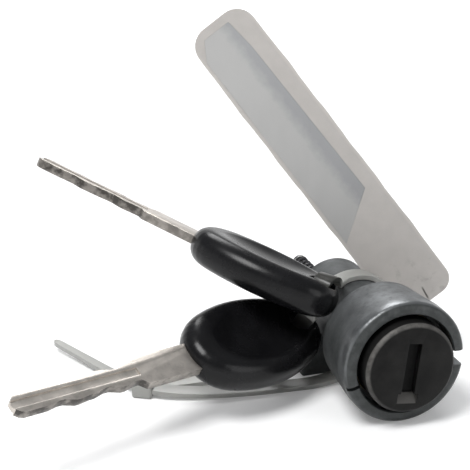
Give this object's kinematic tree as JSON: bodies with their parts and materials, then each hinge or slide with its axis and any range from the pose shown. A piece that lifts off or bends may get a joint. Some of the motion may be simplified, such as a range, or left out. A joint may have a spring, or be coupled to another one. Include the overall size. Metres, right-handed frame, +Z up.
{
  "type": "steering lock",
  "caption": "Round barrel steering lock with a turning key plug, sliding bolt and sprung tail spindle; keys and a label hang on a cable tie.",
  "frame": {"origin": "on the barrel's axis, where the nose ring's rounded front edge runs into its straight land", "axes": "+Y runs back along the barrel from the key face to the tail spindle, +Z is up, +X is to the right when the key face is seen from the front"},
  "size_m": [0.1256, 0.0909, 0.0934],
  "materials": {
    "cast_zinc": "bare die-cast zinc, slightly dull and rubbed bright at the ring's edge",
    "dark_face": "blackened metal, worn to grey-brown at the rim",
    "brass_plug": "machined, plain",
    "wafer_brass": "stamped, plain",
    "bright_steel": "plain turned steel",
    "dark_steel": "oiled spring steel, dark",
    "black_plastic": "smooth moulded plastic with soft gloss",
    "nickel_blade": "nickel-plated blade, darker in the cuts",
    "clear_nylon": "translucent whitish nylon",
    "label_film": "clear adhesive film, slightly yellowed",
    "label_slip": "grey paper slip under the film, left bare"
  },
  "bodies": {
    "housing": {"barrel_housing": "cast_zinc", "rear_cover": "cast_zinc", "cover_screws": "bright_steel", "cable_tie": "clear_nylon", "label_tape": "label_film", "label_paper": "label_slip"},
    "plug": {"face_cap": "dark_face", "rotor": "brass_plug", "wafer_1": "wafer_brass", "wafer_2": "wafer_brass", "wafer_3": "wafer_brass", "wafer_4": "wafer_brass", "wafer_5": "wafer_brass", "wafer_6": "wafer_brass", "wafer_springs": "bright_steel", "shutter_pin": "bright_steel", "shutter_spring": "bright_steel", "peg_spring": "bright_steel", "drive_cam": "bright_steel", "cam_pin": "bright_steel", "tail_spindle": "bright_steel", "return_spring": "dark_steel", "spring_washer": "bright_steel", "spindle_clip": "dark_steel"},
    "shutter": {"dust_shutter": "dark_steel"},
    "peg": {"retaining_peg": "bright_steel"},
    "bolt": {"lock_bolt": "bright_steel", "bolt_yoke": "bright_steel", "yoke_rivet": "bright_steel", "bolt_spring": "dark_steel"},
    "lower_key": {"lower_key_head": "black_plastic", "lower_key_blade": "nickel_blade"},
    "upper_key": {"upper_key_head": "black_plastic", "upper_key_blade": "nickel_blade"}
  },
  "joints": [
    {"name": "plug_turn", "type": "hinge", "parent": "housing", "child": "plug", "pos_m": [0, 0, 0], "axis": [0, 1, 0], "range_deg": [0, 110]},
    {"name": "bolt_slide", "type": "slide", "parent": "housing", "child": "bolt", "axis": [-1, 0, 0], "range_m": [0, 0.00985], "deforming": ["bolt_spring"]},
    {"name": "shutter_swing", "type": "hinge", "parent": "plug", "child": "shutter", "pos_m": [-0.00337, -0.00225, 0.00043], "axis": [0.1271, 0, 0.9919], "range_deg": [0, 80], "stiffness_Nm_per_rad": 0.002, "springref_deg": -22.92},
    {"name": "peg_slide", "type": "slide", "parent": "plug", "child": "peg", "axis": [0.9919, 0, -0.1271], "range_m": [0, 0.0013], "stiffness_N_per_m": 150, "springref_m": -0.0015, "deforming": ["peg_spring"]},
    {"name": "lower_key_swing", "type": "hinge", "parent": "housing", "child": "lower_key", "pos_m": [-0.0167, 0.02985, -0.0018], "axis": [0.2447, -0.4353, 0.8664], "range_deg": [-5, 5]},
    {"name": "upper_key_swing", "type": "hinge", "parent": "housing", "child": "upper_key", "pos_m": [-0.0148, 0.02175, 0.0106], "axis": [0.4069, 0.0334, 0.9129], "range_deg": [-5, 5]}
  ],
  "couplings": [
    {"joint": "bolt_slide", "follows": "plug_turn", "m_per_rad": 0.00512}
  ]
}
